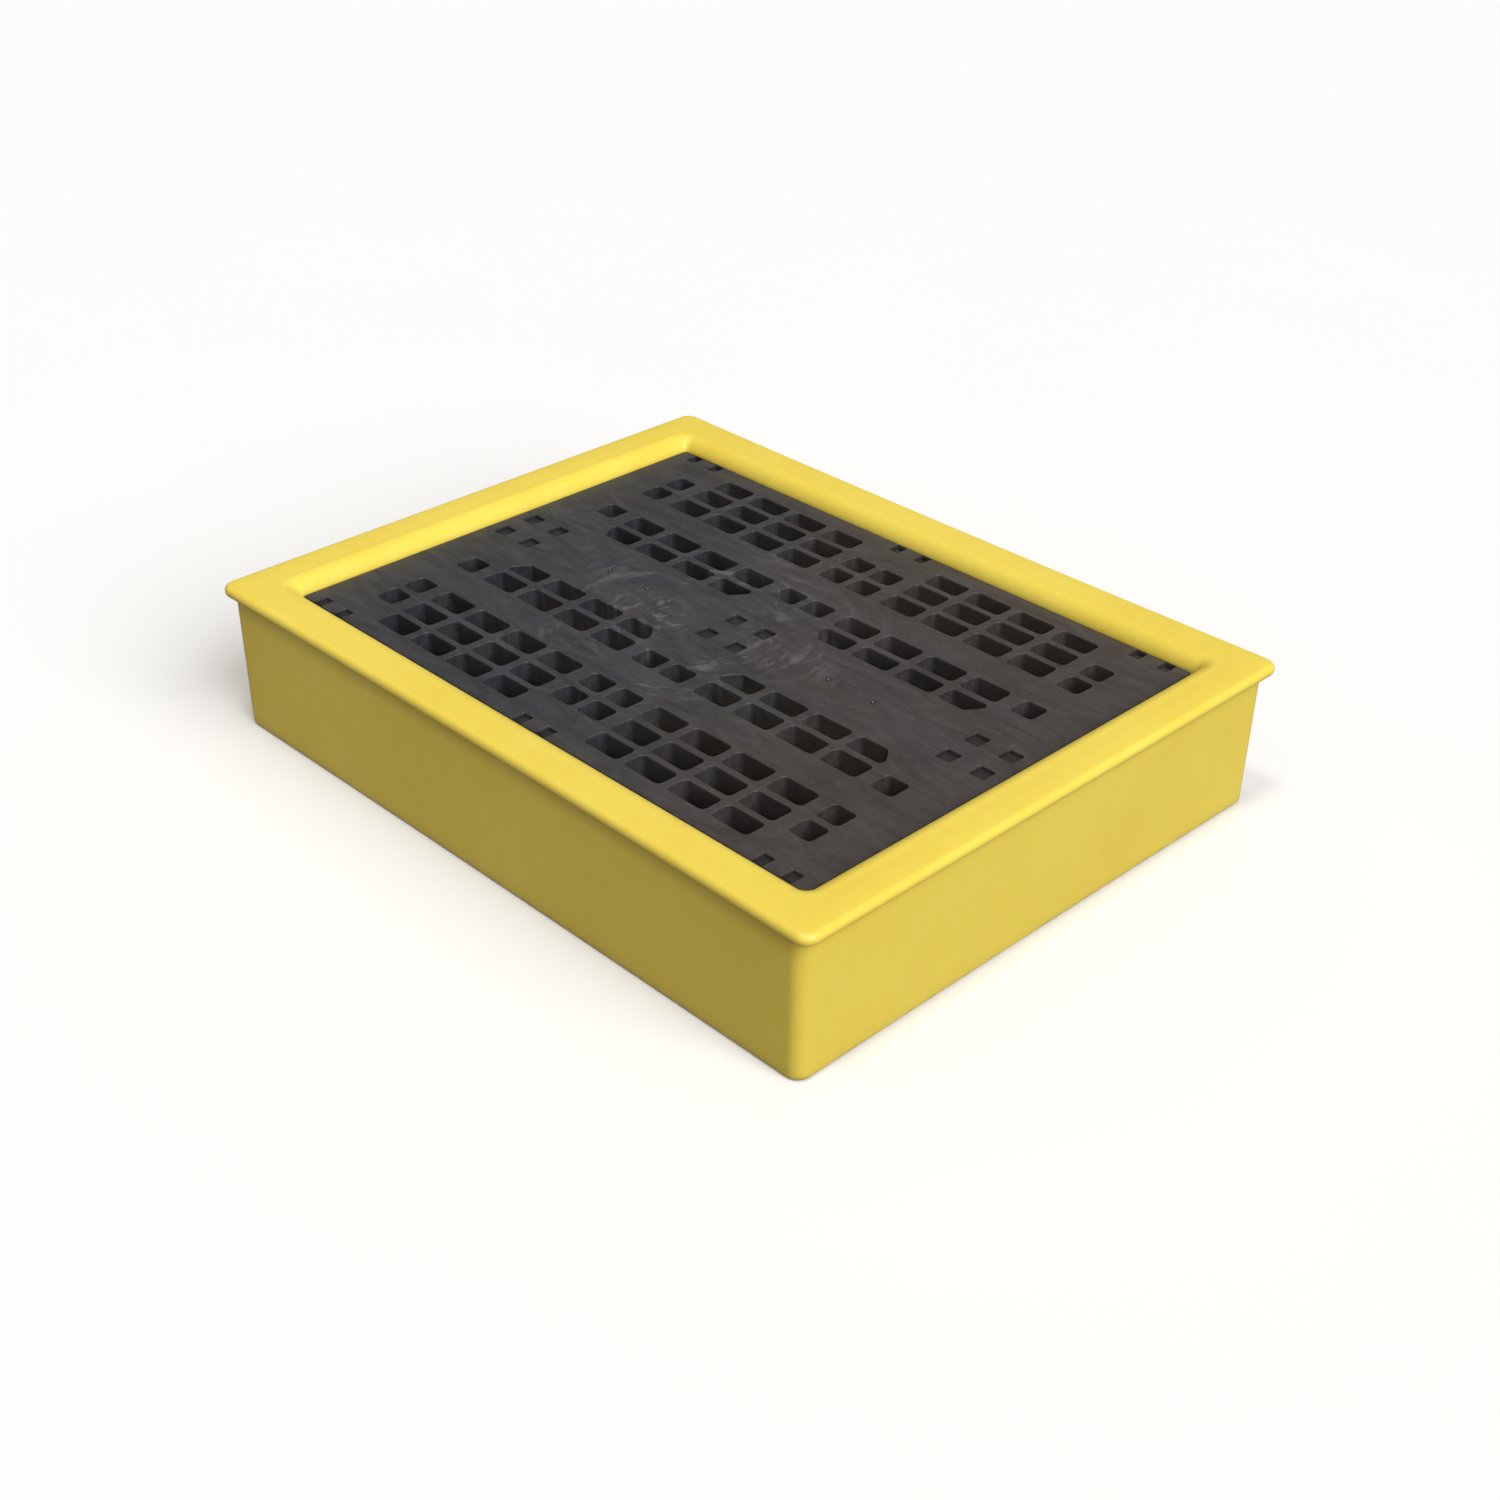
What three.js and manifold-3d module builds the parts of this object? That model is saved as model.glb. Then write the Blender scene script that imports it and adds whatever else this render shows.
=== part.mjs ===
// Low spill containment pallet: a moulded sump tray with a lift-out nine-foot deck pallet.
// Millimetres, +X along the length, +Y across, +Z up, the ground at z = 0.
import * as THREE from 'three';
import { mergeVertices } from 'three/addons/utils/BufferGeometryUtils.js';
import Module from 'manifold-3d';

const wasm = await Module();
wasm.setup();

// ---- sump tray -------------------------------------------------------------------------
const TRAY_HEIGHT = 268;
const RIM_WIDTH_END = 94;
const RIM_WIDTH_SIDE = 95;
const RIM_CORNER_RADIUS = 26;
const LIP_THICKNESS = 21;
const END_OVERHANG = 18;
const SIDE_OVERHANG = 11;
const WALL_CORNER_RADIUS = 25;
const WALL_DRAFT = 2.5;
const FOOT_EDGE_RADIUS = 8;
const OUTER_SKIN = 8;
const INNER_SKIN = 12;
const RIM_SKIN = 10;
const FLOOR_SKIN = 8;
const WELL_CORNER_RADIUS = 8;
const WELL_EDGE_RADIUS = 32;
const RIDGE_FLARE = 8;
const RIDGE_END_GAP = 41;
const LEDGE_MARGIN = 5;

// ---- deck pallet -----------------------------------------------------------------------
const DECK_LENGTH = 1200;
const DECK_WIDTH = 890;
const DECK_CORNER_RADIUS = 6;
const DECK_THICKNESS = 45;
const DECK_SKIN = 5;
const DECK_RIB = 5;
const DECK_RECESS = 22.5;
const PALLET_HEIGHT = 150;
const WELL_CLEARANCE = 6;

// drain cells, one quarter of the deck, counted outwards from its two centre lines; the
// run of cells and strips is stretched to end at the margins
const CELL_MARGIN_X = 82.7;
const CELL_MARGIN_Y = 38.3;
const CENTRE_STRIP = 13.2;
const CENTRE_CELL = 52;
const FOOT_STRIP = 28.9;
const END_CELL = 75.3;
const MID_CELL = 79.4;
const CELL_GAP_X = 15.4;
const OUTER_STRIP = 28.4;
const OUTER_CELL = 45.4;
const MIDDLE_BAND = 172.8;
const INNER_ROW = 39.4;
const ROW = 44;
const CELL_GAP_Y = 13;
const CELL_GAP_OUTER = 12;
const CROSS_BAND = 69.9;
const OUTER_ROW = 41;
const CELL_CORNER_RADIUS = 8;
const CELL_CHAMFER_X = 0.27;
const CELL_CHAMFER_Y = 0.68;

// feet, runners and the small windows above the feet
const FOOT_SIZE = 132;
const FOOT_INSET = 3.2;
const FOOT_TO_CELL = 2.1;
const FOOT_WALL = 6;
const FOOT_BASE = 6;
const SOCKET_WALL = 5;
const SPIGOT_HEIGHT = 17.5;
const PEG_MARGIN = 20;
const PEG_HEIGHT = 10;
const WINDOW_PITCH = 67;
const WINDOW_SIZE = 31;
const NOTCH_PITCH = 57.2;
const NOTCH_WIDTH = 23;
const NOTCH_REACH = 25.5;
const NOTCH_WALL = 2.5;
const NOTCH_DEPTH = 25;
const RUNNER_THICKNESS = 20;
const RUNNER_CHAMFER = 10;
const RUNNER_END_INSET = 3.2;
const RUNNER_WALL = 6;
const RUNNER_FLOOR = 5;

const CLEARANCE = 0.3;

// how far a cutting solid runs past the face it opens, and the facets on curves
const CUT = 1;
const CORNER_STEPS = 4;
const EDGE_STEPS = 3;
const WELL_EDGE_STEPS = 4;

// ---- sizes that follow from the ones above ---------------------------------------------
const DECK_TOP = TRAY_HEIGHT - DECK_RECESS;
const DECK_BOTTOM = DECK_TOP - DECK_THICKNESS;
const PALLET_BOTTOM = DECK_TOP - PALLET_HEIGHT;
const RUNNER_TOP = PALLET_BOTTOM + RUNNER_THICKNESS;
const SUPPORT_TOP = PALLET_BOTTOM - CLEARANCE;
const WELL_HALF_X = DECK_LENGTH / 2 + WELL_CLEARANCE;
const WELL_HALF_Y = DECK_WIDTH / 2 + WELL_CLEARANCE;
const RIM_HALF_X = WELL_HALF_X + RIM_WIDTH_END;
const RIM_HALF_Y = WELL_HALF_Y + RIM_WIDTH_SIDE;
const WALL_HALF_X = RIM_HALF_X - END_OVERHANG;
const WALL_HALF_Y = RIM_HALF_Y - SIDE_OVERHANG;
const LIP_RADIUS = LIP_THICKNESS / 2;
const LEDGE_WIDTH = WELL_CLEARANCE + FOOT_INSET + FOOT_SIZE + LEDGE_MARGIN;
const CELL_ROWS = cellRows();
const CELL_COLUMNS = cellColumns();
const FOOT_PITCH = DECK_LENGTH / 2 - FOOT_INSET - FOOT_SIZE / 2;
const FOOT_EDGE_DEPTH = DECK_WIDTH / 2 - FOOT_INSET - CELL_ROWS[3][1] - FOOT_TO_CELL;
const FOOT_EDGE_Y = DECK_WIDTH / 2 - FOOT_INSET - FOOT_EDGE_DEPTH / 2;

// ---- shapes and solids -----------------------------------------------------------------
function roundedPlan(halfX, halfY, radius) {
  const shape = new THREE.Shape();
  shape.absarc(halfX - radius, halfY - radius, radius, 0, Math.PI / 2);
  shape.absarc(radius - halfX, halfY - radius, radius, Math.PI / 2, Math.PI);
  shape.absarc(radius - halfX, radius - halfY, radius, Math.PI, Math.PI * 1.5);
  shape.absarc(halfX - radius, radius - halfY, radius, Math.PI * 1.5, Math.PI * 2);
  return shape;
}

function polygonPlan(points) {
  return new THREE.Shape(points.map(([x, y]) => new THREE.Vector2(x, y)));
}

function toSolid(geometry) {
  const bare = new THREE.BufferGeometry();
  bare.setAttribute('position', geometry.getAttribute('position'));
  bare.setIndex(geometry.getIndex());
  const merged = mergeVertices(bare, 1e-4);
  const mesh = new wasm.Mesh({
    numProp: 3,
    vertProperties: new Float32Array(merged.getAttribute('position').array),
    triVerts: new Uint32Array(merged.getIndex().array),
  });
  return new wasm.Manifold(mesh);
}

function extrude(shape, low, high) {
  const options = { depth: high - low, bevelEnabled: false, curveSegments: CORNER_STEPS };
  const geometry = new THREE.ExtrudeGeometry(shape, options);
  geometry.translate(0, 0, low);
  return geometry;
}

function prism(shape, low, high) {
  return toSolid(extrude(shape, low, high));
}

// a slab whose edges, hole edges included, are rounded over with the given radius
function beadedSlab(shape, low, high, radius, bevelSegments = EDGE_STEPS) {
  const core = Math.max(high - low - 2 * radius, CLEARANCE);
  const geometry = new THREE.ExtrudeGeometry(shape, {
    depth: core,
    bevelEnabled: true,
    bevelThickness: radius,
    bevelSize: radius,
    bevelOffset: -radius,
    bevelSegments,
    curveSegments: CORNER_STEPS,
  });
  geometry.translate(0, 0, high - radius - core);
  return geometry;
}

// moves every point below the height in towards the centre lines, more the lower it is
function draft(geometry, height, inset) {
  const position = geometry.getAttribute('position');
  for (let i = 0; i < position.count; i += 1) {
    const share = Math.max(0, 1 - position.getZ(i) / height) * inset;
    position.setX(i, position.getX(i) - Math.sign(position.getX(i)) * share);
    position.setY(i, position.getY(i) - Math.sign(position.getY(i)) * share);
  }
  return geometry;
}

function block(x0, x1, y0, y1, z0, z1) {
  const geometry = new THREE.BoxGeometry(x1 - x0, y1 - y0, z1 - z0);
  geometry.translate((x0 + x1) / 2, (y0 + y1) / 2, (z0 + z1) / 2);
  return toSolid(geometry);
}

function centredBlock(x, y, sizeX, sizeY, z0, z1) {
  return block(x - sizeX / 2, x + sizeX / 2, y - sizeY / 2, y + sizeY / 2, z0, z1);
}

function join(solids) {
  return solids.reduce((all, next) => all.add(next));
}

// ---- sump tray -------------------------------------------------------------------------
function trayShell() {
  const wallTop = TRAY_HEIGHT - LIP_RADIUS;
  const wall = beadedSlab(
    roundedPlan(WALL_HALF_X, WALL_HALF_Y, WALL_CORNER_RADIUS), 0, wallTop, FOOT_EDGE_RADIUS);
  const rim = beadedSlab(
    roundedPlan(RIM_HALF_X, RIM_HALF_Y, RIM_CORNER_RADIUS),
    TRAY_HEIGHT - LIP_THICKNESS, TRAY_HEIGHT, LIP_RADIUS);
  return toSolid(draft(wall, wallTop, WALL_DRAFT)).add(toSolid(rim));
}

function trayWell() {
  const plan = (grow) => roundedPlan(
    WELL_HALF_X + grow, WELL_HALF_Y + grow, WELL_CORNER_RADIUS + grow);
  const spread = WELL_EDGE_RADIUS;
  const bead = plan(2.1 * spread);
  bead.holes.push(plan(0));
  const low = TRAY_HEIGHT - 2 * spread;
  return {
    cut: prism(plan(0), FLOOR_SKIN, TRAY_HEIGHT).add(
      prism(plan(spread), TRAY_HEIGHT - spread, TRAY_HEIGHT + CUT)),
    edge: toSolid(beadedSlab(bead, low, TRAY_HEIGHT, spread, WELL_EDGE_STEPS)),
  };
}

// the space between the two walls, open underneath; it steps back under the rounded well edge
function wallHollow() {
  const outerX = WALL_HALF_X - WALL_DRAFT - OUTER_SKIN;
  const outerY = WALL_HALF_Y - WALL_DRAFT - OUTER_SKIN;
  const between = (inner, low, high) => {
    const plan = roundedPlan(outerX, outerY, WALL_CORNER_RADIUS - OUTER_SKIN);
    plan.holes.push(roundedPlan(
      WELL_HALF_X + inner, WELL_HALF_Y + inner, WELL_CORNER_RADIUS + inner));
    return prism(plan, low, high);
  };
  const step = TRAY_HEIGHT - WELL_EDGE_RADIUS;
  return between(INNER_SKIN, -CUT, step).add(
    between(2 * INNER_SKIN, step - CUT, TRAY_HEIGHT - RIM_SKIN));
}

// the ridge across the middle of the floor, under the centre column of feet
function ridge(grow, low, high) {
  const halfY = WELL_HALF_Y - RIDGE_END_GAP + grow;
  const halfX = FOOT_SIZE / 2 + grow;
  const plan = roundedPlan(halfX, halfY, WELL_CORNER_RADIUS);
  return toSolid(draft(extrude(plan, low, high), SUPPORT_TOP, -RIDGE_FLARE));
}

// the steps along the two end walls, under the outer columns of feet
function ledges(setBack, reach, low, high) {
  return [-1, 1].map((side) => {
    const near = side * (WELL_HALF_X - LEDGE_WIDTH + setBack);
    const far = side * (WELL_HALF_X + reach);
    const halfY = WELL_HALF_Y + reach;
    return block(Math.min(near, far), Math.max(near, far), -halfY, halfY, low, high);
  });
}

function sumpTray() {
  const well = trayWell();
  const root = FLOOR_SKIN / 2;
  const supports = join([
    ridge(0, root, SUPPORT_TOP),
    ...ledges(0, CUT, root, SUPPORT_TOP),
  ]);
  const under = SUPPORT_TOP - FLOOR_SKIN;
  const hollows = join([
    wallHollow(),
    ridge(-FLOOR_SKIN, -CUT, under),
    ...ledges(FLOOR_SKIN, INNER_SKIN + CUT, -CUT, under),
  ]);
  return trayShell().subtract(well.cut).add(well.edge).add(supports).subtract(hollows);
}

// ---- deck pallet -----------------------------------------------------------------------
// the runs [low, high] of the cells along one half of the deck, stretched to end at `end`
function stretched(runs, end) {
  const share = end / runs[runs.length - 1][1];
  return runs.map((run) => run.map((place) => place * share));
}

function cellColumns() {
  const widths = [CENTRE_CELL, END_CELL, MID_CELL, MID_CELL, END_CELL, OUTER_CELL];
  const strips = [FOOT_STRIP, CELL_GAP_X, CELL_GAP_X, CELL_GAP_X, OUTER_STRIP, 0];
  return stretched(laidOut(CENTRE_STRIP / 2, widths, strips), DECK_LENGTH / 2 - CELL_MARGIN_X);
}

function cellRows() {
  const depths = [INNER_ROW, ROW, ROW, ROW, OUTER_ROW];
  const strips = [CELL_GAP_Y, CROSS_BAND, CELL_GAP_Y, CELL_GAP_OUTER, 0];
  return stretched(laidOut(MIDDLE_BAND / 2, depths, strips), DECK_WIDTH / 2 - CELL_MARGIN_Y);
}

function laidOut(start, sizes, gaps) {
  let place = start;
  return sizes.map((size, i) => {
    const run = [place, place + size];
    place += size + gaps[i];
    return run;
  });
}

// a drain cell in plan; its corners towards the deck's middle are cut wider where asked, by
// a share of the cell's length and depth
function cellPlan([x0, x1], [y0, y1], wideLow, wideHigh) {
  const r = CELL_CORNER_RADIUS;
  const wide = [CELL_CHAMFER_X * (x1 - x0), CELL_CHAMFER_Y * (y1 - y0)];
  const [lowX, lowY] = wideLow ? wide : [r, r];
  const [highX, highY] = wideHigh ? wide : [r, r];
  return polygonPlan([
    [x0, y0 + lowY],
    [x0 + lowX, y0],
    [x1 - highX, y0],
    [x1, y0 + highY],
    [x1, y1 - r],
    [x1 - r, y1],
    [x0 + r, y1],
    [x0, y1 - r],
  ]);
}

// the innermost and outermost rows have no cells beside the feet
function quarterCells() {
  const lastColumn = CELL_COLUMNS.length - 1;
  const lastRow = CELL_ROWS.length - 1;
  const cells = [];
  CELL_ROWS.forEach((row, r) => {
    const short = r === 0 || r === lastRow;
    CELL_COLUMNS.forEach((column, c) => {
      if (short && (c === 0 || c === lastColumn)) return;
      const plan = cellPlan(column, row, r === 0 && c === 1, r === 0 && c === lastColumn - 1);
      cells.push(prism(plan, DECK_BOTTOM - CUT, DECK_TOP + CUT));
    });
  });
  return cells;
}

function mirrored(solids) {
  const quarter = join(solids);
  const half = quarter.add(quarter.mirror([1, 0, 0]));
  return half.add(half.mirror([0, 1, 0]));
}

function footSites() {
  const columns = { left: -FOOT_PITCH, centre: 0, right: FOOT_PITCH };
  const rows = { front: -FOOT_EDGE_Y, middle: 0, back: FOOT_EDGE_Y };
  const sites = [];
  for (const [row, y] of Object.entries(rows)) {
    for (const [column, x] of Object.entries(columns)) {
      const edge = row !== 'middle';
      const depth = edge ? FOOT_EDGE_DEPTH : FOOT_SIZE;
      sites.push({ name: `foot_${row}_${column}`, row, x, y, depth, edge });
    }
  }
  return sites;
}

function socketCut(site) {
  const low = DECK_BOTTOM - CUT;
  const high = DECK_TOP - DECK_SKIN;
  const wall = 2 * SOCKET_WALL;
  return centredBlock(site.x, site.y, FOOT_SIZE - wall, site.depth - wall, low, high);
}

// two windows inside a thin edge over a foot on a long side, four square windows over the others
function windowCuts(site) {
  const cuts = [];
  for (const i of [-1, 1]) {
    if (site.edge) {
      const x = site.x + i * NOTCH_PITCH / 2;
      const y = Math.sign(site.y) * (DECK_WIDTH / 2 - NOTCH_WALL - NOTCH_REACH / 2);
      const low = DECK_TOP - NOTCH_DEPTH;
      cuts.push(centredBlock(x, y, NOTCH_WIDTH, NOTCH_REACH, low, DECK_TOP + CUT));
    } else {
      for (const j of [-1, 1]) {
        const x = site.x + i * WINDOW_PITCH / 2;
        const y = site.y + j * WINDOW_PITCH / 2;
        const low = DECK_TOP - DECK_SKIN - CUT;
        cuts.push(centredBlock(x, y, WINDOW_SIZE, WINDOW_SIZE, low, DECK_TOP + CUT));
      }
    }
  }
  return cuts;
}

// pockets under the blank bands of one quarter, so that the bands are a skin on ribs
function quarterPockets() {
  const rib = DECK_RIB;
  const pockets = [];
  const pocket = ([x0, x1], [y0, y1]) => {
    pockets.push(block(x0, x1, y0, y1, DECK_BOTTOM - CUT, DECK_TOP - DECK_SKIN));
  };
  const [centre, , second, third, fourth, outer] = CELL_COLUMNS;
  const [, rowD, rowC, , rowA] = CELL_ROWS;
  const ribLines = [second, third, fourth].map((column) => column[0] - CELL_GAP_X / 2);
  const stops = [FOOT_SIZE / 2 + rib / 2, ...ribLines, FOOT_PITCH - FOOT_SIZE / 2 - rib / 2];
  const spans = ribLines.concat(stops[stops.length - 1]).map(
    (stop, i) => [stops[i] + rib / 2, stop - rib / 2]);
  const crossBand = [rowD[1] + rib, rowC[0] - rib];
  const besideFoot = [FOOT_SIZE / 2 + rib / 2, rowD[0] - rib];
  const outside = [outer[1] + rib, DECK_LENGTH / 2 - rib];
  for (const span of spans) {
    pocket(span, [rib / 2, CELL_ROWS[0][0] - rib]);
    pocket(span, crossBand);
    pocket(span, [rowA[1] + rib, DECK_WIDTH / 2 - rib]);
  }
  pocket([rib / 2, FOOT_SIZE / 2], crossBand);
  pocket([rib / 2, centre[1]], besideFoot);
  pocket([stops[stops.length - 1] + rib / 2, outside[1]], crossBand);
  pocket([outer[0], outside[1]], besideFoot);
  pocket(outside, rowD);
  pocket(outside, [rowC[0], FOOT_EDGE_Y - FOOT_EDGE_DEPTH / 2 - rib]);
  return pockets;
}

function palletDeck() {
  const plan = roundedPlan(DECK_LENGTH / 2, DECK_WIDTH / 2, DECK_CORNER_RADIUS);
  const slab = prism(plan, DECK_BOTTOM, DECK_TOP);
  const sites = footSites();
  const cuts = join([
    mirrored(quarterCells()),
    mirrored(quarterPockets()),
    ...sites.map(socketCut),
    ...sites.flatMap(windowCuts),
  ]);
  return slab.subtract(cuts);
}

function peg(site, grow, low, high) {
  const sizeX = FOOT_SIZE - 2 * PEG_MARGIN + 2 * grow;
  const sizeY = site.depth - 2 * PEG_MARGIN + 2 * grow;
  return centredBlock(site.x, site.y, sizeX, sizeY, low, high);
}

function foot(site) {
  const { x, y, depth } = site;
  const low = RUNNER_TOP + CLEARANCE;
  const shoulder = DECK_BOTTOM - CLEARANCE;
  const top = DECK_BOTTOM + SPIGOT_HEIGHT;
  const fit = 2 * (SOCKET_WALL + CLEARANCE);
  const bore = fit + 2 * FOOT_WALL;
  const column = centredBlock(x, y, FOOT_SIZE, depth, low, shoulder);
  const spigot = centredBlock(x, y, FOOT_SIZE - fit, depth - fit, low, top);
  const hollow = centredBlock(x, y, FOOT_SIZE - bore, depth - bore, low + FOOT_BASE, top + CUT);
  const foothold = peg(site, 0, RUNNER_TOP - PEG_HEIGHT, low + FOOT_BASE / 2);
  return column.add(spigot).subtract(hollow).add(foothold);
}

function runnerBar(y, depth) {
  const end = DECK_LENGTH / 2 - RUNNER_END_INSET;
  const tip = end - RUNNER_CHAMFER;
  const side = polygonPlan([
    [-tip, 0],
    [tip, 0],
    [end, RUNNER_CHAMFER],
    [end, RUNNER_THICKNESS],
    [-end, RUNNER_THICKNESS],
    [-end, RUNNER_CHAMFER],
  ]);
  const geometry = extrude(side, -depth / 2, depth / 2);
  geometry.rotateX(Math.PI / 2);
  geometry.translate(0, y, PALLET_BOTTOM);
  return toSolid(geometry);
}

// two open troughs between each pair of feet, with a web between them
function runnerTroughs(y, depth) {
  const length = (FOOT_PITCH - FOOT_SIZE - RUNNER_WALL) / 2;
  const width = depth - 2 * RUNNER_WALL;
  const floor = PALLET_BOTTOM + RUNNER_FLOOR;
  const troughs = [];
  for (const side of [-1, 1]) {
    for (const half of [-1, 1]) {
      const x = side * FOOT_PITCH / 2 + half * (length + RUNNER_WALL) / 2;
      troughs.push(centredBlock(x, y, length, width, floor, RUNNER_TOP + CUT));
    }
  }
  return troughs;
}

function runner(ownSites) {
  const { y, depth } = ownSites[0];
  const seat = RUNNER_TOP - PEG_HEIGHT - CLEARANCE;
  const pegHoles = ownSites.map((site) => peg(site, CLEARANCE, seat, RUNNER_TOP + CUT));
  return runnerBar(y, depth).subtract(join([...pegHoles, ...runnerTroughs(y, depth)]));
}

// ---- assembly --------------------------------------------------------------------------
function yellowPolyethylene() {
  return new THREE.MeshStandardMaterial({ color: '#e6c83c', roughness: 0.42, metalness: 0 });
}

function charcoalPolyethylene() {
  return new THREE.MeshStandardMaterial({ color: '#39373b', roughness: 0.55, metalness: 0 });
}

function toMesh(name, solid, material) {
  const { vertProperties, triVerts } = solid.getMesh();
  const geometry = new THREE.BufferGeometry();
  geometry.setAttribute('position', new THREE.Float32BufferAttribute(vertProperties, 3));
  geometry.setIndex(new THREE.Uint32BufferAttribute(triVerts, 1));
  geometry.computeVertexNormals();
  const mesh = new THREE.Mesh(geometry, material);
  mesh.name = name;
  return mesh;
}

const group = new THREE.Group();
const yellow = yellowPolyethylene();
const charcoal = charcoalPolyethylene();
const sites = footSites();
group.add(toMesh('sump_tray', sumpTray(), yellow));
group.add(toMesh('pallet_deck', palletDeck(), charcoal));
sites.forEach((site) => group.add(toMesh(site.name, foot(site), charcoal)));
for (const row of ['front', 'middle', 'back']) {
  const own = sites.filter((site) => site.row === row);
  group.add(toMesh(`runner_${row}`, runner(own), charcoal));
}

export default group;
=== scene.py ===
"""Looks of a low spill containment pallet: a yellow moulded sump tray and the dark slotted
deck pallet that stands in its well on nine blocks and three runners.

Metres, +X along the tray, +Y across it, +Z up, the ground at z = 0.
"""

from __future__ import annotations

import logging
import math
from dataclasses import dataclass, field
from enum import Enum

import bpy
import numpy as np
from mathutils import Matrix, Vector
from mathutils.geometry import delaunay_2d_cdt


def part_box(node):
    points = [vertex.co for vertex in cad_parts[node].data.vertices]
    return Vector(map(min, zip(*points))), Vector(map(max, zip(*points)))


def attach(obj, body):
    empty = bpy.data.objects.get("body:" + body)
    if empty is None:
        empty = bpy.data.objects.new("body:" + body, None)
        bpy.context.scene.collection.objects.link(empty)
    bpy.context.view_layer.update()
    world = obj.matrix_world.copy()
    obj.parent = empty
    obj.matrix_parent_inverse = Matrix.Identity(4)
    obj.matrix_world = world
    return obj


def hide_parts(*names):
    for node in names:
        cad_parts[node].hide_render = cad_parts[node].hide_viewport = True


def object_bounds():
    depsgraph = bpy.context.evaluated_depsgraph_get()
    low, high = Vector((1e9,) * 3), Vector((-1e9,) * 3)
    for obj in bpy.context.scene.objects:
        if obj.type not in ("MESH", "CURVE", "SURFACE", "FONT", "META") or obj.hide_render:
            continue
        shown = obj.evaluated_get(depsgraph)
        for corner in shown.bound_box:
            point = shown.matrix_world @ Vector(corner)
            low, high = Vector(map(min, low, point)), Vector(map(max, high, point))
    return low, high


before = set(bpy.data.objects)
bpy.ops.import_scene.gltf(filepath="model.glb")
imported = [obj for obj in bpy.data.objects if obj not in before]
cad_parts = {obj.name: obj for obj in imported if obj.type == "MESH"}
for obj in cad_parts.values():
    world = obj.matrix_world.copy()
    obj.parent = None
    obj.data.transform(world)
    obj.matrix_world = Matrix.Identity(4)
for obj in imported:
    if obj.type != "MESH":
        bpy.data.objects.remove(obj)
CAD_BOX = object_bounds()

log = logging.getLogger("spill_pallet")
Array = np.ndarray

LAMP_DISTANCE = 5.0
FLOOR_REACH = 30.0
FLOOR_DROP = 0.0005
FIT = 0.0003


class Body(Enum):
    """The two bodies that move against each other."""

    TRAY = "tray"
    PALLET = "pallet"


class Slot(Enum):
    """The record's material slots."""

    TRAY = "tray_plastic"
    PALLET = "pallet_plastic"


class Work(Enum):
    """What a layer does to the solid inside its outline."""

    ADD = 1
    CUT = 0


def view_direction(azimuth: float, elevation: float) -> Vector:
    """The unit vector (sin a cos e, -cos a cos e, sin e) for two angles in degrees."""
    turn, rise = math.radians(azimuth), math.radians(elevation)
    return Vector((math.sin(turn) * math.cos(rise), -math.cos(turn) * math.cos(rise), math.sin(rise)))


# ---- meshes ----------------------------------------------------------------------------
def make_piece(name: str, points: Array, faces: list[Array], smooth_deg: float) -> bpy.types.Object:
    """Puts vertex and face arrays into a new object at the origin.

    Args:
        name: The piece's name.
        points: (n, 3) vertex places in metres.
        faces: Index arrays, each (m, 3) or (m, 4), wound so that normals point outwards.
        smooth_deg: Edges that turn less than this are shaded smooth.

    Returns:
        The new object, linked to the scene.
    """
    sizes = np.concatenate([np.full(len(part), part.shape[1]) for part in faces])
    loops = np.concatenate([part.ravel() for part in faces]).astype(np.int32)
    starts = np.concatenate([[0], np.cumsum(sizes)[:-1]]).astype(np.int32)
    mesh = bpy.data.meshes.new(name)
    mesh.vertices.add(len(points))
    mesh.vertices.foreach_set("co", points.astype(np.float32).ravel())
    mesh.loops.add(len(loops))
    mesh.loops.foreach_set("vertex_index", loops)
    mesh.polygons.add(len(sizes))
    mesh.polygons.foreach_set("loop_start", starts)
    mesh.update(calc_edges=True)
    mesh.validate()
    mesh.shade_smooth()
    mesh.set_sharp_from_angle(angle=math.radians(smooth_deg))
    piece = bpy.data.objects.new(name, mesh)
    bpy.context.scene.collection.objects.link(piece)
    return piece


def settle(piece: bpy.types.Object, node: str, body: Body) -> None:
    """Makes a piece ride on its body and stand for its CAD node, whose part it hides.

    Args:
        piece: The finished piece.
        node: The CAD node that it stands for.
        body: The body that carries it.
    """
    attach(piece, body.value)
    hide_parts(node)
    log.info("%s: %d faces, stands for %s", piece.name, len(piece.data.polygons), node)


def rounded_outline(low: Array, high: Array, radii: Array | float, steps: int = 3) -> Array:
    """A rectangle with elliptical corners, anticlockwise.

    Each corner is the quarter ellipse centre + (a cos t, b sin t) for t over its quarter turn.

    Args:
        low: (x, y) of the lowest corner.
        high: (x, y) of the highest corner.
        radii: One radius, or (4, 2) half axes a, b from the (low, low) corner anticlockwise.
        steps: Segments on each corner.

    Returns:
        (n, 2) outline points.
    """
    radii = np.broadcast_to(radii, (4, 2)).astype(float)
    sign = np.array([[-1, -1], [1, -1], [1, 1], [-1, 1]], float)
    corner = np.where(sign < 0, low, high)
    start = np.array([math.pi, 1.5 * math.pi, 0.0, 0.5 * math.pi])
    turn = start[:, None] + np.linspace(0, math.pi / 2, steps + 1)[None, :]
    wave = np.stack([np.cos(turn), np.sin(turn)], axis=-1)
    centre = corner - sign * radii
    return (centre[:, None, :] + radii[:, None, :] * wave).reshape(-1, 2)


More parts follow.
